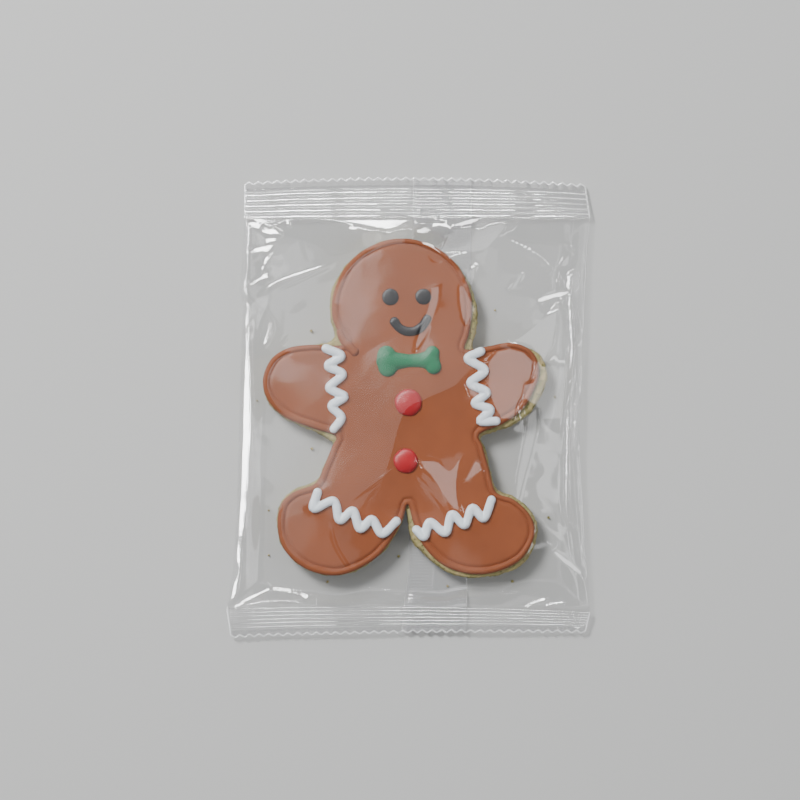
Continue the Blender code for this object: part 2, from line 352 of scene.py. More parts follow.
# ------------------------------------------------------------------------------------------
# The brown icing: royal icing piped as a thick line round the edge and flooded inside it. It
# dried matt, with a groove between the line and the field, and sits a little up and left.
# ------------------------------------------------------------------------------------------
ICING_OUTLINE = (
    (-2.0, 53.9), (3.8, 53.1), (10.9, 49.8), (16.4, 44.3), (19.7, 37.2), (20.3, 30.2), (19.3, 23.2),
    (18.2, 18.6), (24.9, 19.4), (32.6, 20.7), (38.9, 18.4), (41.6, 13.3), (40.9, 7.5), (36.7, -0.2),
    (30.3, -5.1),
    (22.8, -8.5), (23.8, -12.6), (25.8, -19.7), (28.0, -26.9), (33.8, -29.4), (39.0, -34.6),
    (40.2, -40.8), (36.1, -48.2), (28.4, -52.3), (19.8, -53.1), (11.4, -50.4), (5.0, -44.3),
    (1.7, -37.0), (-0.2, -31.0), (-2.3, -36.8), (-8.1, -45.9), (-15.4, -51.2), (-23.4, -53.6),
    (-32.1, -51.7), (-38.6, -46.6), (-41.5, -39.8), (-40.9, -31.5), (-36.6, -27.0), (-29.7, -24.2),
    (-27.0, -19.0), (-24.4, -12.6), (-23.3, -9.1), (-30.5, -6.6), (-39.1, -3.2), (-44.6, 2.1),
    (-46.4, 8.5), (-43.9, 15.2), (-38.5, 18.9), (-31.4, 20.0), (-20.6, 20.1), (-23.1, 25.4),
    (-24.4, 30.2), (-23.7, 37.2), (-20.4, 44.3), (-14.9, 49.8), (-7.8, 53.1),
)
ICING_BOTTOM = BASE_TOP - 0.15 * MM
ICING_FIELD = 9.2 * MM
# The piped line is wider on its left and on its lower sides, where it was pressed down, and it
# is a bit uneven.
LINE_WIDTH = 2.0 * MM
LINE_SPREAD = 0.45 * MM
SPREAD_WAY = (-0.8, -0.45)
LINE_UNEVEN = 0.35
LINE_UNEVEN_SIZE = 6 * MM
# The section across the piped line: how far in, in widths of the line, and the height in mm.
LINE_PROFILE = (
    (0.12, 0.0), (0.02, 0.3), (0.0, 0.65), (0.03, 0.98), (0.1, 1.28), (0.2, 1.55), (0.33, 1.76),
    (0.47, 1.86), (0.6, 1.85), (0.73, 1.74), (0.84, 1.56), (0.93, 1.36), (0.99, 1.22),
)
# The field's edge inside the groove: how far past the line in mm, and the height in mm.
FIELD_PROFILE = ((0.1, 1.2), (0.28, 1.32), (0.5, 1.5), (0.8, 1.66), (1.2, 1.74), (1.8, 1.76), (2.6, 1.75))
# The icing's top is a bit wavy, from this far over its underside on.
FIELD_WAVE_FROM = 0.5 * MM
FIELD_WAVE = 0.12 * MM
FIELD_WAVE_SIZE = 14 * MM
BROWN = (0.278, 0.078, 0.027, 1)
ICING_GRAIN = 0.25
# A piped bead swells and thins a little, and ends in domes.
BEAD_SWELL = 0.07
BEAD_SWELL_SIZE = 2.2 * MM
BEAD_SWELL_LEVEL = 3 * MM
CAP_RINGS = 6
CAP_START = 0.35
# How fine the skin of a bead is rebuilt, and how high a flat bead's middle is over the field in radii.
SKIN_STEP = 0.2 * MM
FLAT_SINK = -0.1
# Where the piped line's end was laid over its start, at the neck: x, y and its radius in mm.
OVERLAP = ((-21.9, 24.0, 1.1), (-20.6, 21.4, 1.3), (-18.9, 19.6, 1.45), (-17.2, 17.9, 1.5))


def icing_group():
    """Dried royal icing as a shared effect: drying patches in the colour and a sugary grain."""
    group = bpy.data.node_groups.new("royal_icing", "ShaderNodeTree")
    for name, kind in (("Colour", "NodeSocketColor"), ("Patchiness", "NodeSocketFloat"),
                       ("Grain", "NodeSocketFloat")):
        group.interface.new_socket(name, in_out="INPUT", socket_type=kind)
    group.interface.new_socket("Colour", in_out="OUTPUT", socket_type="NodeSocketColor")
    group.interface.new_socket("Normal", in_out="OUTPUT", socket_type="NodeSocketVector")
    given = group.nodes.new("NodeGroupInput").outputs
    place = group.nodes.new("ShaderNodeTexCoord").outputs["Object"]
    patches = add_node(group, "ShaderNodeTexNoise", {
        "Vector": place, "Scale": 75, "Detail": 5, "Roughness": 0.6})
    lightness = add_node(group, "ShaderNodeMapRange", {
        "Value": patches.outputs["Fac"], "To Min": -1, "To Max": 1})
    amount = add_node(group, "ShaderNodeMath", {
        0: lightness.outputs["Result"], 1: given["Patchiness"], 2: 1}, operation="MULTIPLY_ADD")
    shade = add_node(group, "ShaderNodeHueSaturation", {
        "Value": amount.outputs["Value"], "Color": given["Colour"]})
    grain = add_node(group, "ShaderNodeTexNoise", {"Vector": place, "Scale": 1400, "Detail": 3})
    bump = add_node(group, "ShaderNodeBump", {
        "Height": grain.outputs["Fac"], "Strength": given["Grain"], "Distance": 0.1 * MM})
    add_node(group, "NodeGroupOutput", {
        "Colour": shade.outputs["Color"], "Normal": bump.outputs["Normal"]})
    return group


royal_icing = icing_group()


def icing_finish(name, colour, roughness, gloss, patchiness=0.25):
    """One colour of dried icing. gloss is how much it mirrors, from 0 to 1."""
    material, tree, shader = new_material(name, colour, roughness)
    shader.inputs["Specular IOR Level"].default_value = gloss
    effect = add_node(tree, "ShaderNodeGroup", {
        "Colour": colour, "Patchiness": patchiness, "Grain": ICING_GRAIN}, node_tree=royal_icing)
    tree.links.new(effect.outputs["Colour"], shader.inputs["Base Color"])
    tree.links.new(effect.outputs["Normal"], shader.inputs["Normal"])
    return material


def piped(points, floor_height, sink=0.35, step=0.4, sides=20):
    """A line of icing piped through points (x, y, radius) in mm: a round bead with domed ends.

    sink is how high its middle lies over the floor, in radii.
    """
    path = spline(points, step, closed=False) * MM
    path, sizes = path[:, :2], path[:, 2]
    ahead = np.gradient(path, axis=0)
    ahead /= np.linalg.norm(ahead, axis=1)[:, np.newaxis]
    side = np.column_stack([-ahead[:, 1], ahead[:, 0]])
    swell = [noise.noise(Vector((*spot, BEAD_SWELL_LEVEL)) / BEAD_SWELL_SIZE) for spot in path]
    sizes = sizes * (1 + BEAD_SWELL * np.array(swell))
    turns = np.linspace(0, math.tau, sides, endpoint=False)
    rings = []

    def add_ring(centre, across, size, level):
        wide = centre + across * (np.cos(turns) * size)[:, np.newaxis]
        tall = floor_height + sink * level + np.sin(turns) * size
        rings.append(np.column_stack([wide, tall]))

    cap_angles = [(cap + CAP_START) / CAP_RINGS * math.pi / 2 for cap in range(CAP_RINGS)]
    for angle in cap_angles:
        centre = path[0] - ahead[0] * sizes[0] * math.cos(angle)
        add_ring(centre, side[0], sizes[0] * math.sin(angle), sizes[0])
    for spot, across, size in zip(path, side, sizes):
        add_ring(spot, across, size, size)
    for angle in reversed(cap_angles):
        centre = path[-1] + ahead[-1] * sizes[-1] * math.cos(angle)
        add_ring(centre, side[-1], sizes[-1] * math.sin(angle), sizes[-1])
    return shell(np.array(rings))


def melted(name, mesh, material, voxel=SKIN_STEP, relaxing=4):
    """Let touching blobs of icing run together into one smooth skin."""
    piece = add_object(name, mesh, material)
    remesh = piece.modifiers.new("run_together", "REMESH")
    remesh.mode = "VOXEL"
    remesh.voxel_size = voxel
    remesh.use_smooth_shade = True
    relax = piece.modifiers.new("relax", "SMOOTH")
    relax.factor = 0.5
    relax.iterations = relaxing
    finished = piece.evaluated_get(bpy.context.evaluated_depsgraph_get())
    piece.data = bpy.data.meshes.new_from_object(finished)
    piece.modifiers.clear()
    piece.data.shade_smooth()
    return piece


icing_loop = spline(ICING_OUTLINE, OUTLINE_STEP / MM, closed=True) * MM
icing_out = outward(icing_loop)
line_width = np.array([
    LINE_WIDTH + LINE_SPREAD * (out[0] * SPREAD_WAY[0] + out[1] * SPREAD_WAY[1])
    + LINE_UNEVEN * LINE_SPREAD * noise.noise(Vector((*spot, 0)) / LINE_UNEVEN_SIZE)
    for spot, out in zip(icing_loop, icing_out)])[:, np.newaxis]
icing_rings = [
    level_ring(icing_loop - icing_out * line_width * share, ICING_BOTTOM + height * MM)
    for share, height in LINE_PROFILE]
icing_rings += [
    level_ring(icing_loop - icing_out * (line_width + past * MM), ICING_BOTTOM + height * MM)
    for past, height in FIELD_PROFILE]
icing_mesh = shell(np.array(icing_rings))
score(icing_mesh, GRID_STEP)
for vert in icing_mesh.verts:
    if vert.co.z > ICING_BOTTOM + FIELD_WAVE_FROM:
        vert.co.z += FIELD_WAVE * noise.noise(vert.co / FIELD_WAVE_SIZE)
brown = icing_finish("brown_icing", BROWN, roughness=0.65, gloss=0.1)
icing = add_object("brown_icing", icing_mesh, brown)
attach(icing, "root")
tail = melted("icing_overlap", piped(OVERLAP, ICING_FIELD, sink=FLAT_SINK), brown)
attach(tail, "root")

# ------------------------------------------------------------------------------------------
# The face: two dark grey drops of icing for the eyes, set on the dried field, and a smile piped
# from cheek to cheek.
# ------------------------------------------------------------------------------------------
# Each eye's x, y and radius in mm, and the smile's points with the radius of its bead.
EYES = {"left": (-5.7, 35.2, 2.68), "right": (4.8, 35.3, 2.56)}
EYE_HEIGHT = 1.15 * MM
EYE_UNEVEN = 0.04
SMILE = (
    (-4.4, 27.3, 1.55), (-2.9, 25.4, 1.45), (-0.6, 24.3, 1.5), (2.0, 24.4, 1.5), (4.4, 25.9, 1.45),
    (6.0, 28.3, 1.4),
)
DARK_GREY = (0.013, 0.013, 0.016, 1)
# How flat the underside of a drop is, and how close the dents in its outline lie.
DROP_UNDERSIDE = 0.3
DROP_DENTS = 1.5


def drop(centre_x, centre_y, radius, height, floor_height, unevenness=0.0):
    """A round drop of icing: the upper half of a squashed ball, on a shallow underside."""
    mesh = bmesh.new()
    bmesh.ops.create_uvsphere(mesh, u_segments=48, v_segments=24, radius=1)
    for vert in mesh.verts:
        grow = 1 + unevenness * noise.noise(vert.co * DROP_DENTS + Vector((centre_x, centre_y, 0)))
        top = vert.co.z if vert.co.z > 0 else vert.co.z * DROP_UNDERSIDE
        vert.co = Vector((
            (centre_x + vert.co.x * radius * grow) * MM,
            (centre_y + vert.co.y * radius * grow) * MM,
            floor_height + top * height))
    return mesh


dark = icing_finish("dark_icing", DARK_GREY, roughness=0.5, gloss=0.25)
for side, eye_plan in EYES.items():
    eye_mesh = drop(*eye_plan, EYE_HEIGHT, ICING_FIELD, EYE_UNEVEN)
    eye = add_object(f"eye_{side}", eye_mesh, dark)
    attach(eye, "root")
smile = melted("smile", piped(SMILE, ICING_FIELD, sink=FLAT_SINK), dark)
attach(smile, "root")

# ------------------------------------------------------------------------------------------
# The bow: green icing piped on the neck in the shape of a bone, with two knobs at each end of a
# thinner bar. They ran together while they were wet.
# ------------------------------------------------------------------------------------------
# The knobs and the bar's points, each with its x, y and radius in mm.
BOW_KNOBS = ((-6.95, 16.75, 3.1), (-6.6, 12.8, 3.15), (7.7, 17.45, 2.35), (8.0, 13.1, 2.65))
BOW_BAR = (
    (-7.4, 14.8, 3.1), (-4.4, 14.8, 3.15), (-1.6, 14.85, 2.55), (0.8, 14.9, 2.25), (3.2, 15.0, 2.5),
    (5.6, 15.1, 3.0), (7.6, 15.2, 2.6),
)
BOW_BAR_SINK = -0.34
BOW_HEIGHT = 1.85 * MM
BOW_SKIN_STEP = 0.25 * MM
GREEN = (0.002, 0.17, 0.066, 1)


def join(mesh, extra):
    """Add one bmesh to another, and free it."""
    spare = bpy.data.meshes.new("spare")
    extra.to_mesh(spare)
    extra.free()
    mesh.from_mesh(spare)
    bpy.data.meshes.remove(spare)


green = icing_finish("green_icing", GREEN, roughness=0.55, gloss=0.12)
bow_mesh = piped(BOW_BAR, ICING_FIELD, sink=BOW_BAR_SINK)
for knob in BOW_KNOBS:
    join(bow_mesh, drop(*knob, BOW_HEIGHT, ICING_FIELD))
bow = melted("bow", bow_mesh, green, BOW_SKIN_STEP, relaxing=30)
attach(bow, "root")

# ------------------------------------------------------------------------------------------
# The buttons: two fat round drops of red icing down the middle of the belly, the lower one a
# little smaller.
# ------------------------------------------------------------------------------------------
# Each button's x, y and radius in mm.
BUTTONS = {"upper": (0.0, 1.6, 4.3), "lower": (-0.8, -17.0, 3.9)}
BUTTON_HEIGHT = 2.3 * MM
BUTTON_UNEVEN = 0.05
RED = (0.46, 0.012, 0.018, 1)

red = icing_finish("red_icing", RED, roughness=0.45, gloss=0.25)
for place, button_plan in BUTTONS.items():
    button_mesh = drop(*button_plan, BUTTON_HEIGHT, ICING_FIELD, BUTTON_UNEVEN)
    button = add_object(f"button_{place}", button_mesh, red)
    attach(button, "root")

# ------------------------------------------------------------------------------------------
# The cuffs: four zigzags of stiff white icing, piped by hand across the wrists and ankles and
# onto the edge of the brown icing.
# ------------------------------------------------------------------------------------------
# The turns of each zigzag as (x, y) in mm, and the radius of its bead.
ZIGZAGS = {
    "wrist_left": (
        (-26.2, 18.8), (-21.3, 16.4), (-25.6, 13.3), (-20.9, 10.6), (-25.2, 6.3), (-20.3, 3.5),
        (-24.4, 0.5), (-21.3, -3.1), (-23.7, -6.8)),
    "wrist_right": (
        (23.1, 17.9), (18.9, 15.5), (24.4, 11.8), (19.8, 7.8), (25.0, 4.8), (21.1, 1.3),
        (26.2, -0.7), (22.8, -4.3), (28.0, -4.3)),
    "ankle_left": (
        (-28.9, -27.0), (-30.1, -32.2), (-23.7, -29.7), (-21.9, -35.9), (-17.6, -32.8),
        (-15.4, -38.6), (-11.5, -35.6), (-8.4, -40.2), (-3.8, -36.2)),
    "ankle_right": (
        (2.6, -38.9), (5.1, -41.1), (6.9, -36.5), (11.8, -39.8), (13.9, -34.0), (17.9, -37.4),
        (20.4, -31.9), (24.0, -35.3), (26.5, -29.4)),
}
ZIGZAG_RADIUS = 1.42
WHITE = (0.87, 0.94, 1.0, 1)

white = icing_finish("white_icing", WHITE, roughness=0.5, gloss=0.25, patchiness=0.06)
for place, points in ZIGZAGS.items():
    line = [(x, y, ZIGZAG_RADIUS) for x, y in points]
    zigzag = melted(f"zigzag_{place}", piped(line, ICING_FIELD), white)
    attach(zigzag, "root")

# ------------------------------------------------------------------------------------------
# The bag's back: half of a tube of clear polypropylene film, folded along both sides. It lies on
# its own seam under the biscuit, and curves up to the side folds and to the seals at its ends.
# ------------------------------------------------------------------------------------------
# The side folds from foot to head, as (y, x), and the seals' inner edges as distances from the
# middle of the bag: at the left fold, halfway and at the right fold. All are in mm.
LEFT_FOLD = (
    (-74.1, -57.0), (-64.8, -58.3), (-52.0, -56.1), (-29.6, -54.8), (2.4, -53.9), (33.0, -52.9),
    (37.6, -53.9), (61.0, -52.6), (72.5, -52.6),
)
RIGHT_FOLD = (
    (-72.6, 56.9), (-66.0, 58.3), (-42.4, 56.6), (-13.6, 55.0), (18.4, 55.9), (47.2, 57.2),
    (61.2, 58.3), (71.9, 56.9),
)
HEAD_SEAL_INNER = (61.0, 61.4, 61.2)
FOOT_SEAL_INNER = (64.8, 64.2, 66.0)
# How high the borders of the film are held, at the seals and halfway along the folds, and how high
# its back lies inside them, past a curve of a varying width.
SEAL_LIFT = 3.0 * MM
FOLD_LIFT = 3.8 * MM
BACK_LEVEL = 0.38 * MM
BACK_CURVE = 9.0 * MM
BACK_CURVE_CHANGE = 0.9
BACK_CURVE_CHANGE_SIZE = 16 * MM
# The film is first laid out in coarse cells, which are made this many times finer.
FILM_COLUMNS = 72
FILM_ROWS = 84
FINER = {"front": 4, "back": 2}
# How the film reflects: each of its two faces turns back 4.3 percent of the light that falls
# straight on it, and the rest comes in as a power of how flat the light falls.
FILM_MIRROR = 0.085
MIRROR_POWER = 5
FILM_ROUGHNESS = 0.1
FILM_CLEAR = (0.985, 0.985, 0.985, 1)
FILM_RIPPLE = 0.012 * MM
MILK_WHITE = (0.95, 0.95, 0.96, 1)


def bent(values, across):
    """A gentle curve through three values: at the left fold, halfway and at the right fold."""
    left, middle, right = values
    straight = left + (right - left) * across
    return straight + (middle - (left + right) / 2) * 4 * across * (1 - across)


def bag_plan(across, y):
    """Where a share of the way across the bag lies, at the height y, in metres."""
    left = np.interp(y / MM, *np.transpose(LEFT_FOLD))
    right = np.interp(y / MM, *np.transpose(RIGHT_FOLD))
    return (left + (right - left) * across) * MM


def fade_in(distance, reach):
    """A smooth step from 0 at no distance to 1 at the reach and past it."""
    share = np.clip(distance / reach, 0, 1)
    return share * share * (3 - 2 * share)


def film_spots(times):
    """The film's plan as a grid of x and y, with how high its borders hold it, all in metres."""
    across, along = np.meshgrid(np.linspace(0, 1, FILM_COLUMNS * times + 1),
                                np.linspace(0, 1, FILM_ROWS * times + 1))
    foot = -bent(FOOT_SEAL_INNER, across) * MM
    head = bent(HEAD_SEAL_INNER, across) * MM
    y = foot + (head - foot) * along
    held = SEAL_LIFT + (FOLD_LIFT - SEAL_LIFT) * np.sin(math.pi * along)
    return bag_plan(across, y), y, held


def inside_borders(x, y):
    """How far each place lies inside each of the film's four borders, in metres."""
    return {
        "left": x - bag_plan(0, y), "right": bag_plan(1, y) - x,
        "head": np.mean(HEAD_SEAL_INNER) * MM - y, "foot": y + np.mean(FOOT_SEAL_INNER) * MM}


def sheet(x, y, z):
    """An open mesh from a grid of places."""
    places = np.dstack([x, y, z])
    mesh = flat_grid(places)
    spread_out(mesh.verts, places)
    return mesh


def film_finish(name, mirror, clear, roughness, ripple, milk=0.0):
    """Clear film: it lets light through, and mirrors more of it the flatter light falls.

    milk is the share that scatters light, as a weld or a rough cut edge does; on the seals' cut rims and
    side edges it is also painted highlight.
    """
    material = bpy.data.materials.new(name)
    material.use_nodes = True
    tree = material.node_tree
    tree.nodes.clear()
    place = tree.nodes.new("ShaderNodeTexCoord").outputs["Object"]
    ripples = add_node(tree, "ShaderNodeTexNoise", {"Vector": place, "Scale": 160, "Detail": 1})
    bump = add_node(tree, "ShaderNodeBump", {
        "Height": ripples.outputs["Fac"], "Strength": 1, "Distance": ripple})
    gloss = add_node(tree, "ShaderNodeBsdfGlossy", {
        "Roughness": roughness, "Normal": bump.outputs["Normal"]})
    facing = add_node(tree, "ShaderNodeLayerWeight", {"Blend": 0.5})
    steep = add_node(tree, "ShaderNodeMath", {
        0: facing.outputs["Facing"], 1: MIRROR_POWER}, operation="POWER")
    share = add_node(tree, "ShaderNodeMath", {
        0: steep.outputs["Value"], 1: 1 - mirror, 2: mirror}, operation="MULTIPLY_ADD")
    behind = add_node(tree, "ShaderNodeBsdfTransparent", {"Color": clear}).outputs["BSDF"]
    if milk:
        scatter = add_node(tree, "ShaderNodeBsdfDiffuse", {"Color": MILK_WHITE})
        behind = add_node(tree, "ShaderNodeMixShader", {
            "Fac": milk, 1: behind, 2: scatter.outputs["BSDF"]}).outputs["Shader"]
    mix = add_node(tree, "ShaderNodeMixShader", {
        "Fac": share.outputs["Value"], 1: behind, 2: gloss.outputs["BSDF"]})
    add_node(tree, "ShaderNodeOutputMaterial", {"Surface": mix.outputs["Shader"]})
    return material


film = film_finish("clear_film", FILM_MIRROR, FILM_CLEAR, FILM_ROUGHNESS, FILM_RIPPLE)
back_x, back_y, back_held = film_spots(FINER["back"])
inside = np.minimum.reduce(list(inside_borders(back_x, back_y).values()))
change = np.array([noise.noise(Vector((*place, 0)) / BACK_CURVE_CHANGE_SIZE)
                   for place in zip(back_x.ravel(), back_y.ravel())])
curve = BACK_CURVE * (1 + BACK_CURVE_CHANGE * change.reshape(back_x.shape))
back_z = back_held + (BACK_LEVEL - back_held) * fade_in(inside, curve)
film_back = add_object("film_back", sheet(back_x, back_y, back_z), film)
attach(film_back, "root")

# ------------------------------------------------------------------------------------------
# The bag's front: the other half of the tube. The biscuit and a little air hold it up, the seals
# and the folds hold it down, and handling has left flat panels, creases and crumples in it.
# ------------------------------------------------------------------------------------------
# How close the film comes to the icing, how the air bulges it in 1/m, the height it starts from,
# and how often its height is averaged.
FILM_GAP = 0.25 * MM
FILM_BULGE = 2.0
FILM_START = 11.5 * MM
FILM_STEPS = 2500
# The plain biscuit that the film is drawn over: how far in and how high each ring of it is, in mm.
PRESS_STEP = 2.0
PRESS_RINGS = ((0.0, 0.6), (0.0, 8.2), (0.5, 9.1), (1.5, 9.5))
# Along each border the film was pressed into a lip. Each row is a place along it, how far in the
# lip starts and how wide it is, in mm. The steepness outside it, on it and inside it comes first.
LIPS = {
    "left": ((2.2, 0.74, 1.6), (
        (-66.0, 0.7, 1.4), (-50.0, 0.6, 1.3), (-43.0, 0.7, 1.5), (-36.0, 0.8, 2.1), (-10.0, 0.9, 2.9),
        (2.0, 0.9, 2.7), (12.0, 0.9, 2.1), (18.0, 0.8, 1.6), (26.0, 0.6, 1.4), (61.0, 0.5, 1.3))),
    "right": ((1.0, 0.22, 1.0), (
        (-66.0, 0.3, 3.0), (-40.0, 0.3, 4.4), (10.0, 0.3, 4.2), (61.0, 0.3, 4.6))),
    "head": ((2.6, 0.71, 1.4), (
        (-52.5, 0.3, 0.5), (-50.5, 0.3, 2.2), (-47.0, 0.3, 3.4), (-43.5, 0.3, 2.4), (-40.0, 0.3, 1.2),
        (-36.0, 0.3, 0.4), (-28.0, 0.3, 0.4), (-24.0, 0.5, 0.7), (-20.0, 0.7, 1.3), (-15.0, 0.7, 2.2),
        (-10.0, 0.7, 3.3), (-6.0, 0.7, 3.8), (-3.0, 0.7, 2.9), (-1.0, 0.7, 1.4), (2.0, 0.6, 0.6),
        (8.0, 0.3, 0.6), (12.0, 0.3, 0.9), (22.0, 0.3, 0.6), (28.0, 0.3, 0.3), (45.0, 0.3, 0.6),
        (58.0, 0.3, 0.4))),
    "foot": ((0.8, 0.12, 0.9), (
        (-58.0, 0.4, 1.2), (-47.0, 0.4, 3.2), (-36.0, 0.4, 4.8), (-24.0, 0.4, 3.0), (-6.0, 0.4, 4.4),
        (10.0, 0.4, 3.4), (30.0, 0.4, 4.6), (44.0, 0.4, 3.0), (58.0, 0.4, 1.2))),
}
LIP_FADE = 1.0
# Where the air holds the film up over the biscuit's head, as (x, y, height) in mm.
PROP = ((-16.0, 57.4, 8.2), (-9.0, 56.0, 9.3), (-3.0, 56.3, 9.2), (1.0, 57.0, 8.6))
PROP_STEP = 0.5
PROP_REACH = 1.3 * MM
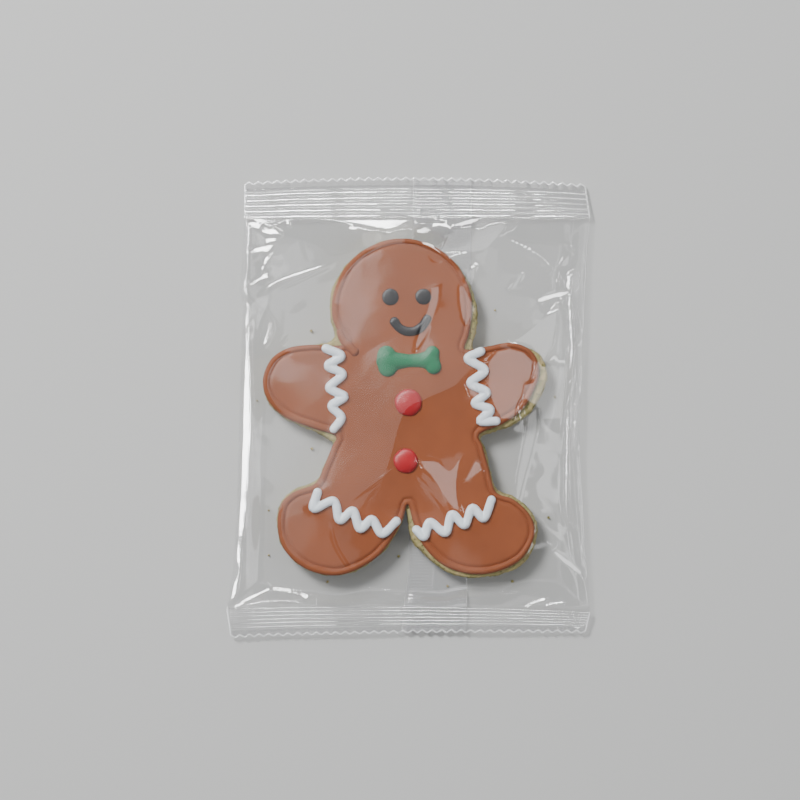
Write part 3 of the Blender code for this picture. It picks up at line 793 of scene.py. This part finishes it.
# Where folding has left the film flat and stiff. Each panel has its slope along x and along y, its
# height halfway and its corners, in mm. The first twelve mirror the glows above as a haze, and the
# others mirror a window. Past its edge the film leaves a panel's height no faster than PANEL_FALL.
PANELS = {
    "arm": (0.109, -0.066, 11.5, (
        (28.4, 18.4), (33.2, 18.6), (36.7, 17.8), (39.9, 14.6), (39.0, 8.8), (37.0, 7.5), (36.1, 3.4),
        (34.5, 0.2), (33.8, -4.0), (29.4, -3.7), (26.8, 1.1), (25.2, 5.6), (25.2, 14.6))),
    "arm_edge": (0.097, -0.068, 11.6, (
        (18.5, 6.9), (21.0, 7.8), (23.0, 3.0), (21.7, 2.4), (19.4, 4.0))),
    "belly": (0.089, -0.093, 11.75, (
        (3.4, -16.8), (7.0, -16.6), (9.8, -17.1), (11.1, -18.7), (12.4, -20.0), (14.0, -19.4),
        (15.6, -16.5), (17.2, -15.5), (16.2, -18.4), (15.6, -23.2), (15.6, -28.0), (16.6, -33.1),
        (14.0, -32.2), (10.2, -26.4), (7.0, -21.6), (4.7, -19.4))),
    "hip": (0.087, -0.082, 11.7, (
        (21.0, -16.5), (23.0, -17.8), (23.9, -20.0), (20.4, -22.6), (17.5, -23.2))),
    "flank": (0.107, -0.082, 9.6, (
        (38.0, -0.2), (41.2, -0.5), (41.2, -7.2), (39.3, -15.2), (37.4, -21.6), (35.4, -29.6),
        (33.8, -29.0), (34.5, -21.6), (35.8, -15.2), (37.4, -7.2))),
    "shoulder": (0.128, -0.062, 10.4, (
        (47.6, 31.2), (47.3, 27.4), (46.6, 23.2), (46.3, 20.0), (44.7, 17.4), (42.8, 13.9),
        (41.5, 16.5), (39.0, 19.4), (35.8, 20.6), (32.6, 21.0), (36.4, 23.2), (40.6, 26.4),
        (43.8, 29.3))),
    "leaf": (0.114, -0.037, 7.8, (
        (9.2, 49.1), (10.5, 51.0), (12.7, 54.6), (15.0, 56.8), (17.5, 57.4), (19.8, 57.8), (21.7, 56.8),
        (23.6, 57.1), (26.2, 58.4), (29.4, 58.8), (31.4, 58.4), (31.0, 57.1), (28.7, 54.2),
        (26.2, 51.7), (23.6, 49.8), (20.4, 49.3), (16.6, 49.8), (14.0, 49.8))),
    "cheek": (0.095, -0.043, 10.5, (
        (15.9, 38.6), (17.8, 38.6), (19.8, 34.7), (21.0, 32.5), (21.7, 31.2), (20.4, 29.3),
        (19.1, 26.7), (18.2, 25.8), (16.9, 28.6), (16.2, 33.1))),
    "brow": (0.121, -0.045, 8.7, (
        (32.2, 37.6), (33.5, 39.8), (35.8, 43.0), (36.7, 42.4), (35.4, 39.5), (33.5, 37.3))),
    "sliver": (0.078, -0.041, 10.8, (
        (7.3, 38.2), (10.2, 38.9), (9.8, 33.8), (8.2, 28.6), (6.3, 23.8), (3.8, 19.7), (1.8, 17.8),
        (2.2, 21.0), (3.8, 25.8), (6.0, 31.8))),
    "crumple": (0.113, -0.049, 9.9, (
        (17.5, 40.5), (19.8, 44.0), (21.7, 45.3), (21.4, 42.4), (20.7, 38.9), (19.1, 39.5))),
    "right_foot": (0.107, -0.1, 9.4, (
        (36.4, -44.6), (39.9, -43.4), (43.8, -42.7), (45.4, -44.0), (42.2, -45.3), (38.3, -45.6))),
    "corner_a": (0.446, -0.434, 5.0, (
        (-51.3, 59.8), (-48.7, 59.4), (-46.8, 58.1), (-47.4, 56.8), (-49.7, 57.8), (-51.0, 58.7))),
    "corner_b": (0.451, -0.435, 6.2, (
        (-46.8, 58.1), (-44.9, 57.1), (-42.6, 57.0), (-41.4, 55.2), (-43.6, 54.9), (-46.5, 55.8),
        (-47.1, 56.5))),
    "corner_c": (0.451, -0.438, 6.3, (
        (-46.2, 54.2), (-43.6, 54.4), (-41.7, 54.6), (-42.3, 53.0), (-43.9, 52.6), (-45.5, 52.6))),
    "corner_stripes": (0.447, -0.442, 5.9, (
        (-50.0, 51.0), (-46.8, 51.8), (-43.3, 52.2), (-42.8, 51.8), (-43.9, 50.4), (-44.9, 49.3),
        (-46.3, 49.7), (-50.0, 50.1), (-50.0, 50.5), (-46.8, 50.6), (-45.7, 51.0), (-46.8, 51.0),
        (-49.7, 50.7))),
    "corner_tail": (0.448, -0.446, 6.4, (
        (-44.9, 48.7), (-44.0, 49.6), (-44.9, 47.2), (-45.8, 44.6), (-46.2, 44.0), (-46.5, 46.2),
        (-46.1, 48.2))),
    "corner_bit": (0.458, -0.431, 5.0, (
        (-39.4, 59.7), (-38.3, 60.4), (-37.7, 58.1), (-39.0, 58.6))),
    "corner_triangle": (0.446, -0.452, 5.9, (
        (-50.5, 39.8), (-48.4, 41.4), (-46.8, 42.2), (-46.2, 43.4), (-45.5, 42.2), (-43.3, 41.4),
        (-46.2, 40.9), (-48.4, 40.5))),
    "right_streak": (-0.253, -0.671, 7.4, (
        (41.0, 33.6), (41.4, 34.8), (43.1, 35.7), (47.3, 36.9), (52.1, 37.7), (52.2, 36.7),
        (48.6, 35.3), (43.8, 34.0), (42.2, 33.2))),
    "head_streak": (-0.289, -0.643, 5.5, (
        (14.2, 58.1), (17.2, 59.6), (22.3, 61.0), (23.4, 60.6), (21.7, 59.2), (17.5, 58.1),
        (14.6, 57.4))),
    "side_line_a": (0.836, 0.089, 5.9, (
        (50.8, 42.1), (52.1, 42.1), (52.1, 34.4), (52.4, 27.4), (53.0, 19.7), (51.7, 19.7),
        (51.1, 27.4), (50.8, 34.4))),
    "side_line_b": (0.836, 0.059, 5.8, (
        (51.6, 18.7), (52.9, 18.7), (52.4, 12.0), (51.8, 2.4), (51.6, -5.6), (50.3, -5.6), (50.5, 2.4),
        (51.1, 12.0))),
    "side_line_c": (0.836, 0.02, 5.8, (
        (50.3, -6.6), (51.5, -6.6), (51.3, -13.6), (51.1, -29.6), (51.4, -34.1), (52.4, -38.2),
        (51.3, -38.9), (50.2, -34.4), (49.8, -29.6), (50.0, -13.6))),
    "ankle_streak": (-0.649, -0.141, 5.9, (
        (45.8, -46.4), (46.3, -45.8), (47.6, -45.8), (51.8, -48.6), (55.9, -52.2), (56.1, -54.1),
        (53.7, -53.0), (49.2, -49.9))),
    "foot_arc_a": (0.396, -0.597, 4.5, (
        (-56.1, -63.8), (-51.9, -60.6), (-46.8, -58.4), (-44.6, -57.3), (-44.2, -58.7), (-46.8, -59.8),
        (-51.3, -62.2), (-54.8, -64.5))),
    "foot_arc_b": (0.07, -0.796, 5.3, (
        (-43.6, -57.0), (-38.5, -57.6), (-34.3, -58.2), (-31.4, -60.0), (-32.4, -61.6), (-35.0, -59.9),
        (-38.5, -59.4), (-43.6, -58.9))),
    "foot_arc_c": (0.062, -0.799, 3.9, (
        (-53.2, -63.0), (-46.8, -61.6), (-39.4, -61.2), (-34.0, -62.0), (-34.6, -62.9), (-39.4, -62.3),
        (-46.8, -62.8), (-51.9, -63.8))),
    "foot_scar_a": (0.433, -0.643, 4.3, (
        (35.4, -65.4), (37.4, -63.0), (39.6, -61.8), (42.5, -60.8), (44.1, -60.8), (44.1, -61.9),
        (41.5, -62.6), (39.3, -63.5), (36.7, -65.8))),
    "foot_scar_b": (0.104, -0.822, 4.0, (
        (44.1, -62.6), (48.6, -61.7), (50.2, -62.0), (49.8, -62.9), (44.7, -63.7))),
}
PANEL_FALL = 1.1
# A distance and a height in metres that are greater than any in the bag.
FAR = 1.0
OVER_ALL = 0.1
# The creases that handling has left. Each is a ridge with the height that it stands, how wide it
# slopes away to the side of the key light and to the other side, and its points, in mm.
CREASES = {
    "leaf_upper": (0.5, 0.75, 1.6, (
        (-48.4, 35.4), (-42.0, 39.8), (-33.0, 43.0), (-23.4, 45.9))),
    "leaf_lower": (0.35, 0.5, 0.8, (
        (-42.0, 37.3), (-34.0, 40.8), (-24.7, 45.0))),
    "pinch": (0.8, 1.0, 1.0, (
        (-52.9, 37.3), (-48.7, 32.5), (-43.6, 26.4), (-46.2, 18.4))),
    "left_streak": (0.3, 0.5, 0.5, (
        (-40.1, 19.7), (-38.2, 22.9))),
    "belly_crease": (0.85, 22.0, 20.0, (
        (-14.0, -36.0), (-9.0, -26.0), (-5.2, -13.6), (-1.4, -1.4), (5.0, 2.7), (17.5, 8.8),
        (26.2, 17.8))),
    "left_shin_fold": (0.16, 0.8, 0.8, (
        (-24.7, -36.6), (-23.1, -44.0), (-18.0, -52.6))),
    "left_thigh_fold": (0.05, 0.9, 0.9, (
        (-19.3, -30.2), (-10.6, -23.8), (-2.0, -17.8))),
    "right_thigh_fold": (0.2, 1.0, 0.9, (
        (0.6, -20.0), (7.6, -27.0), (14.0, -35.0))),
    "right_side_outer": (1.26, 1.2, 1.3, (
        (56.6, 47.8), (52.7, 37.6), (54.3, 23.2), (53.0, 18.4), (54.0, -4.0), (52.7, -20.0),
        (54.6, -42.4), (55.9, -53.9))),
    "right_corner_curve": (0.75, 0.9, 2.0, (
        (52.7, 51.7), (47.9, 44.0), (48.9, 35.7), (52.1, 28.6))),
    "right_corner_fold": (0.75, 0.8, 0.8, (
        (50.2, 52.6), (53.7, 49.8), (57.5, 46.6))),
    "right_shoulder_arc": (0.7, 0.9, 1.6, (
        (27.4, 54.9), (37.7, 50.4), (45.4, 44.0), (50.5, 33.8))),
    "foot_right_corner": (0.9, 0.9, 1.0, (
        (55.6, -52.6), (56.9, -59.0), (57.8, -65.4))),
    "foot_middle_fold": (1.5, 1.2, 1.0, (
        (-16.7, -58.4), (-8.4, -58.4), (-1.4, -61.0))),
}
KEY_SIDE = np.array([-0.7, 0.7])
CREASE_STEP = 1.5
CREASE_EDGE = 1.1
CREASE_ENDS = 1.6
# The crumples are faint random ridges. They stay off the film where it is drawn tight, over this
# height, and like the creases they fade out at the borders.
CRUMPLE = 0.14 * MM
CRUMPLE_SIZE = 8.0 * MM
TIGHT_HEIGHT = 8.5 * MM
TIGHT_REACH = 1.2 * MM
TIGHT_CALM = 0.9
CREASE_FADE = 1.5 * MM
# How steeply the film can rise from its borders, and from how far in.
BORDER_FALL = 3.0
BORDER_STRIP = 0.2 * MM


def biscuit_press():
    """A plain copy of the iced biscuit for the film to rest on, as a tree of faces to hit."""
    loop = spline(BASE_OUTLINE, PRESS_STEP, closed=True) * MM
    out = outward(loop)
    mesh = shell(np.array([level_ring(loop - out * inset * MM, height * MM)
                           for inset, height in PRESS_RINGS]))
    details = [drop(*button, BUTTON_HEIGHT, ICING_FIELD) for button in BUTTONS.values()]
    details += [drop(*knob, BOW_HEIGHT, ICING_FIELD) for knob in BOW_KNOBS]
    details += [piped([(x, y, ZIGZAG_RADIUS) for x, y in points], ICING_FIELD, step=1.2, sides=8)
                for points in ZIGZAGS.values()]
    for detail in details:
        join(mesh, detail)
    bmesh.ops.triangulate(mesh, faces=mesh.faces)
    press = BVHTree.FromBMesh(mesh)
    mesh.free()
    return press


def resting(press, x, y):
    """How low the film can lie at each place: just over the biscuit, or down on the floor."""
    lowest = np.zeros(x.shape)
    for spot in np.ndindex(*x.shape):
        hit = press.ray_cast(Vector((x[spot], y[spot], OVER_ALL)), Vector((0, 0, -1)))[0]
        lowest[spot] = hit.z + FILM_GAP if hit else 0
    return lowest


def lip_rise(side, x, y):
    """How high the lip along one border has risen at each place, and how far past it that is."""
    (outer, on_it, inner), rows = LIPS[side]
    away = inside_borders(x, y)[side] / MM
    spot = (y if side in ("left", "right") else x) / MM
    spots, starts, widths = np.transpose(rows)
    start = np.interp(spot, spots, starts)
    width = np.interp(spot, spots, widths)
    rise = outer * np.minimum(away, start) + on_it * np.clip(away - start, 0, width)
    rise += inner * np.maximum(away - start - width, 0)
    return np.maximum(rise, 0) * MM, away - start - width


def lowest_lip(x, y):
    """The least rise of the four lips at each place in metres, and how far past them it is in mm."""
    rises = [lip_rise(side, x, y) for side in LIPS]
    return (np.minimum.reduce([rise for rise, past in rises]),
            np.minimum.reduce([past for rise, past in rises]))


def panelled(x, y):
    """The height of the nearest panel's nearest spot, and how far away from it each place is."""
    height = np.zeros(x.shape)
    away = np.full(x.shape, FAR)
    for slope_x, slope_y, middle, points in PANELS.values():
        corners = np.array(points) * MM
        centre = corners.mean(axis=0)
        inside = np.zeros(x.shape, dtype=bool)
        gap = np.full(x.shape, FAR)
        near_x = x.copy()
        near_y = y.copy()
        for start, end in zip(corners, np.roll(corners, -1, axis=0)):
            ahead = end - start
            share = ((x - start[0]) * ahead[0] + (y - start[1]) * ahead[1]) / (ahead @ ahead)
            foot_x = start[0] + np.clip(share, 0, 1) * ahead[0]
            foot_y = start[1] + np.clip(share, 0, 1) * ahead[1]
            distance = np.hypot(x - foot_x, y - foot_y)
            closer = distance < gap
            gap = np.where(closer, distance, gap)
            near_x = np.where(closer, foot_x, near_x)
            near_y = np.where(closer, foot_y, near_y)
            level = (start[1] > y) != (end[1] > y)
            inside ^= level & (x < start[0] + (y - start[1]) * ahead[0] / (ahead[1] or 1))
        gap[inside] = 0
        near_x[inside] = x[inside]
        near_y[inside] = y[inside]
        plane = middle * MM + slope_x * (near_x - centre[0]) + slope_y * (near_y - centre[1])
        height = np.where(gap < away, plane, height)
        away = np.minimum(away, gap)
    return height, away


def relaxed(x, y, held, lowest):
    """The coarse height of the front film, drawn over the biscuit with a little air under it."""
    for spot_x, spot_y, prop in spline(PROP, PROP_STEP, closed=False) * MM:
        near = np.hypot(x - spot_x, y - spot_y) < PROP_REACH
        lowest[near] = np.maximum(lowest[near], prop)
    rise, past = lowest_lip(x, y)
    panel, away = panelled(x, y)
    free = (past > 0) & (away > 0)
    fixed = np.where(away > 0, held + rise, np.maximum(panel, lowest))
    height = np.where(free, FILM_START, fixed)
    cell = (x[0, 1] - x[0, 0]) * (y[1, 0] - y[0, 0])
    for _ in range(FILM_STEPS):
        middle = (height[:-2, 1:-1] + height[2:, 1:-1] + height[1:-1, :-2] + height[1:-1, 2:]) / 4
        pulled = np.maximum(middle + FILM_BULGE * cell / 4, lowest[1:-1, 1:-1])
        height[1:-1, 1:-1] = np.where(free[1:-1, 1:-1], pulled, fixed[1:-1, 1:-1])
    return height


def between(count, times):
    """Weights that turn count + 1 values into times as many, along a smooth cubic spline."""
    weights = np.zeros((count * times + 1, count + 1))
    for fine in range(count * times + 1):
        cell = min(fine // times, count - 1)
        share = fine / times - cell
        parts = ((1 - share) ** 3, 3 * share ** 3 - 6 * share ** 2 + 4,
                 -3 * share ** 3 + 3 * share ** 2 + 3 * share + 1, share ** 3)
        for offset, part in enumerate(parts):
            weights[fine, min(max(cell - 1 + offset, 0), count)] += part / 6
    return weights


def creased(places):
    """How high the creases lift the film at each place, in metres."""
    lift = np.zeros(len(places))
    for height, key_width, far_width, points in CREASES.values():
        path = spline(points, CREASE_STEP, closed=False) * MM
        shares = np.linspace(0, 1, len(path))
        reach = max(key_width, far_width) * MM
        low = path.min(axis=0) - reach
        high = path.max(axis=0) + reach
        near = np.flatnonzero(np.all((places[:, :2] > low) & (places[:, :2] < high), axis=1))
        ridge = np.zeros(len(near))
        spots = places[near, :2]
        for start, end, first, last in zip(path, path[1:], shares, shares[1:]):
            ahead = end - start
            along = np.clip((spots - start) @ ahead / (ahead @ ahead), 0, 1)
            offset = spots - start - along[:, np.newaxis] * ahead
            width = np.where(offset @ KEY_SIDE > 0, key_width, far_width) * MM
            slope = np.clip(1 - np.linalg.norm(offset, axis=1) / width, 0, 1) ** CREASE_EDGE
            share = first + (last - first) * along
            tapered = np.clip(np.sin(math.pi * share) * CREASE_ENDS, 0, 1)
            ridge = np.maximum(ridge, slope * tapered)
        lift[near] += ridge * height * MM
    return lift


def crumpled(places):
    """Faint random ridges in the film, as it has from being handled."""
    folds = np.array([noise.noise(Vector(place) / CRUMPLE_SIZE) for place in places])
    return CRUMPLE * (1 - 2 * abs(folds))


press = biscuit_press()
coarse_x, coarse_y, coarse_held = film_spots(1)
coarse = relaxed(coarse_x, coarse_y, coarse_held, resting(press, coarse_x, coarse_y))
front_x, front_y, front_held = film_spots(FINER["front"])
front_z = between(FILM_ROWS, FINER["front"]) @ coarse @ between(FILM_COLUMNS, FINER["front"]).T
rise, past = lowest_lip(front_x, front_y)
front_z = front_z + (front_held + rise - front_z) * (1 - fade_in(past, LIP_FADE))
from_border = np.minimum.reduce(list(inside_borders(front_x, front_y).values()))
places = np.column_stack([front_x.ravel(), front_y.ravel(), np.zeros(front_x.size)])
tight = fade_in(front_z - TIGHT_HEIGHT, TIGHT_REACH).ravel()
lift = creased(places) + crumpled(places) * (1 - TIGHT_CALM * tight)
front_z += lift.reshape(front_x.shape) * fade_in(from_border, CREASE_FADE)
panel, away = panelled(front_x, front_y)
front_z = np.clip(front_z, panel - PANEL_FALL * away, panel + PANEL_FALL * away)
front_z = np.minimum(front_z, front_held + BORDER_FALL * np.maximum(from_border - BORDER_STRIP, 0))
front_z = np.maximum(front_z, resting(press, front_x, front_y))
film_front = add_object("film_front", sheet(front_x, front_y, front_z), film)
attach(film_front, "root")
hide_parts("bag")

# ------------------------------------------------------------------------------------------
# The seals: both ends of the tube pressed flat between hot jaws, which leave ribs across them,
# and cut off with a zigzag knife. They curl up a little from the table.
# ------------------------------------------------------------------------------------------
BAG_HALF = 74.1
BAG_WIDTH = 117
TOOTH_COUNT = 37
TOOTH_DEPTH = 1.0
TOOTH_STEPS = 8
# For each seal: its inner edge and how far short of the bag's length it ends, as above, its ribs,
# the share of it that they cover, their height and sharpness, how high its cut edge lies, and the
# start of its wave. Its way along the bag comes last. Lengths are in mm.
SEALS = {
    "head": (HEAD_SEAL_INNER, (1.6, 0.0, 2.2), 5, 0.82, 0.22, 0.9, 1.6, 0.6, 1),
    "foot": (FOOT_SEAL_INNER, (0.0, 1.5, 1.5), 6, 0.86, 0.05, 1.0, 2.7, 2.4, -1),
}
SEAL_WAVE = 0.22 * MM
SEAL_WAVES_ACROSS = 2.5
SEAL_SHEET = 0.12 * MM
# What varies at random along a seal: the size of its changes in mm and a seed. The ribs drift by a
# share of their spacing, the jaws pressed the left end harder, and the film is a bit bumpy.
RIB_DRIFT = (14, 5)
RIB_DRIFT_SHARE = 0.06
JAW_DRIFT = (9, 8)
JAW_DRIFT_SHARE = 0.1
JAW_LEFT = 1.06
JAW_SLANT = 0.14
SEAL_BUMPS = (2.5, 11)
SEAL_BUMP_HEIGHT = 0.04 * MM
SEAL_BUMPS_AT_RIBS = 0.5
RIB_ROWS = 16
RIB_FADE = 0.06
TOOTH_SHARPNESS = 10
# The rim of the cut and the part of it that is surely white, and the white at the sides, in mm. That white
# is partly painted highlight.
RIM_WIDTH = 0.36
CUT_RIM = 0.8 * RIM_WIDTH
SIDE_RIM = 0.3
CRIMP_MIRROR = 0.10
CRIMP_CLEAR = (0.94, 0.94, 0.94, 1)
CRIMP_RIPPLE = 0.02 * MM
CRIMP_MILK = 0.04
CUT_ROUGHNESS = 0.2
# The cut rims' milky white: partly the scatter of a rough cut, partly painted highlight for the glint
# along the cuts and the side folds.
CUT_MILK_AND_HIGHLIGHT = 0.85


def plate(front, back):
    """A thin closed sheet between two grids of places."""
    mesh = flat_grid(back)
    back_verts = list(mesh.verts)
    extruded = bmesh.ops.extrude_face_region(mesh, geom=list(mesh.faces))["geom"]
    front_verts = [item for item in extruded if isinstance(item, bmesh.types.BMVert)]
    spread_out(back_verts, back)
    spread_out(front_verts, front)
    bmesh.ops.recalc_face_normals(mesh, faces=mesh.faces)
    return mesh


def tooth(across):
    """The zigzag of the cut edge, from 0 in its valleys to 1 on its points."""
    step = across * TOOTH_COUNT % 1
    return 1 - abs(2 * step - 1)


def wander(across, size, seed):
    """A slow random drift along a seal, from about -1 to 1."""
    places = [Vector((share * BAG_WIDTH / size, seed, 0)) for share in across]
    return np.array([noise.noise(place) for place in places]) * 2


def cut_edge(end, across):
    """How far from the middle of the bag a seal's zigzag edge lies, in mm."""
    short = SEALS[end][1]
    return BAG_HALF - TOOTH_DEPTH - bent(short, across) + TOOTH_DEPTH * tooth(across)


def seal_sheet(end):
    """A seal's front and back, as grids of points. The last row is the rim of the cut."""
    inner, short, ribs, ribbed, rib_height, sharp, edge_lift, wave_start, way = SEALS[end]
    across = np.linspace(0, 1, TOOTH_COUNT * TOOTH_STEPS + 1)
    rows = ribs * RIB_ROWS
    drift, firmness, bumps = (wander(across, size, seed * way)
                              for size, seed in (RIB_DRIFT, JAW_DRIFT, SEAL_BUMPS))
    firmness = JAW_LEFT - JAW_SLANT * across + JAW_DRIFT_SHARE * firmness
    start = bent(inner, across)
    valley = BAG_HALF - TOOTH_DEPTH - bent(short, across)
    front = np.empty((rows + 2, len(across), 3))
    for row, along in enumerate([*np.linspace(0, 1, rows + 1), 1]):
        out = start + (valley - start) * along + TOOTH_DEPTH * tooth(across) * along ** TOOTH_SHARPNESS
        out -= RIM_WIDTH if row <= rows else 0
        y = way * out * MM
        wave = SEAL_WAVE * np.sin(SEAL_WAVES_ACROSS * math.tau * across + wave_start)
        z = SEAL_LIFT + (edge_lift * MM - SEAL_LIFT + wave) * along
        turn = np.clip(along / ribbed, 0, 1) * ribs + RIB_DRIFT_SHARE * drift
        rib = np.clip(0.5 + sharp * np.cos(math.tau * turn), 0, 1)
        fade = 1 - fade_in(along - ribbed, RIB_FADE)
        z = z + rib_height * MM * firmness * rib * fade
        z += SEAL_BUMP_HEIGHT * bumps * (1 - fade * SEAL_BUMPS_AT_RIBS)
        front[row] = np.column_stack([bag_plan(across, y), y, z])
    return front, front - np.array([0, 0, SEAL_SHEET])


def whiten_rim(mesh, end):
    """Give the faces of a seal's cut rim and of its two side edges the second material, a milky white that
    is partly painted highlight.
    """
    way = SEALS[end][-1]
    for face in mesh.faces:
        spot = face.calc_center_median()
        left, right = bag_plan(np.array([0, 1]), np.array([spot.y, spot.y]))
        across = np.array([(spot.x - left) / (right - left)])
        to_cut = cut_edge(end, across)[0] - way * spot.y / MM
        to_side = min(spot.x - left, right - spot.x) / MM
        if to_cut < CUT_RIM or to_side < SIDE_RIM:
            face.material_index = 1


crimped = film_finish(
    "crimped_film", CRIMP_MIRROR, CRIMP_CLEAR, FILM_ROUGHNESS, CRIMP_RIPPLE, CRIMP_MILK)
# The second material, for the cut rims and side edges: partly the scatter of a rough cut, partly painted
# highlight.
cut_rim_milk_and_highlight = film_finish("cut_rim_milk_and_highlight", CRIMP_MIRROR, CRIMP_CLEAR, CUT_ROUGHNESS, CRIMP_RIPPLE, CUT_MILK_AND_HIGHLIGHT)
seals = []
for end in SEALS:
    seal_mesh = plate(*seal_sheet(end))
    whiten_rim(seal_mesh, end)
    seal = add_object(f"{end}_seal", seal_mesh, crimped)
    seal.data.materials.append(cut_rim_milk_and_highlight)
    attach(seal, "root")
    seals.append(seal)
ribbed = bpy.data.collections.new("ribbed")
for seal in seals:
    ribbed.objects.link(seal)
foot_window.light_linking.receiver_collection = ribbed

# ------------------------------------------------------------------------------------------
# The back seam: the film's two edges, welded between ribbed wheels into a doubled band. It is
# folded flat against the back, and both seals have caught it.
# ------------------------------------------------------------------------------------------
# Where the band's root and its free edge lie, from foot to head, as (y, x) in mm.
SEAM_ROOT = (
    (-74.1, -2.2), (-64.0, -1.6), (-59.0, -0.6), (-50.0, 0.2), (20.0, 0.9), (55.0, 1.5), (74.1, 1.6),
)
SEAM_FREE = ((-74.1, 18.6), (-60.0, 18.9), (0.0, 19.4), (60.0, 20.4), (74.1, 20.2))
SEAM_COLUMNS = 48
SEAM_ROWS = 740
SEAM_SHEET = 0.16 * MM
SEAM_GAP = 0.05 * MM
SEAM_LOWEST = 0.03 * MM
UNDER_ALL = -0.01
# The weld's ribs: their spacing in mm and height, the share of the band that they cover, and how
# far from the middle of the bag they end, in mm.
WELD_PITCH = 1.0
WELD_HEIGHT = 0.1 * MM
WELD_SHARE = (0.04, 0.42)
WELD_END = 62
WELD_MILK = 0.22
ROOT_BEAD = 0.22 * MM
ROOT_BEAD_SHARE = 0.03


def seam_lines(y):
    """The x of the band's root and of its free edge, at a place along the bag, all in mm."""
    return np.interp(y, *np.transpose(SEAM_ROOT)), np.interp(y, *np.transpose(SEAM_FREE))


above = bmesh.new()
for piece in [film_back] + seals:
    above.from_mesh(piece.data)
overlying = BVHTree.FromBMesh(above)
above.free()
shares = np.linspace(0, 1, SEAM_COLUMNS + 1)
seam_ends = {}
for end, way in (("head", 1), ("foot", -1)):
    edge_y = way * (BAG_HALF - 2 * TOOTH_DEPTH)
    root, free = seam_lines(edge_y)
    left, right = bag_plan(np.array([0, 1]), np.full(2, edge_y * MM)) / MM
    seam_ends[end] = way * cut_edge(end, (root + (free - root) * shares - left) / (right - left))
seam_front = np.empty((SEAM_ROWS + 1, SEAM_COLUMNS + 1, 3))
for row in range(SEAM_ROWS + 1):
    y = seam_ends["foot"] + (seam_ends["head"] - seam_ends["foot"]) * row / SEAM_ROWS
    root, free = seam_lines(y)
    x = root + (free - root) * shares
    for column, share in enumerate(shares):
        hit = overlying.ray_cast(Vector((x[column] * MM, y[column] * MM, UNDER_ALL)), Vector((0, 0, 1)))[0]
        if hit is None:
            hit = Vector(seam_front[row - 1, column] + [0, 0, SEAM_GAP])
        z = hit.z - SEAM_GAP
        if WELD_SHARE[0] < share < WELD_SHARE[1] and abs(y[column]) < WELD_END:
            z -= WELD_HEIGHT * (0.5 + 0.5 * math.cos(math.tau * y[column] / WELD_PITCH))
        z += ROOT_BEAD * max(0, 1 - share / ROOT_BEAD_SHARE)
        seam_front[row, column] = (x[column] * MM, y[column] * MM, z)
seam_back = seam_front - np.array([0, 0, SEAM_SHEET])
seam_back[..., 2] = np.maximum(seam_back[..., 2], SEAM_LOWEST)
welded = film_finish("welded_film", CRIMP_MIRROR, FILM_CLEAR, FILM_ROUGHNESS, CRIMP_RIPPLE, WELD_MILK)
seam = add_object("back_seam", plate(seam_front, seam_back), welded)
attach(seam, "root")
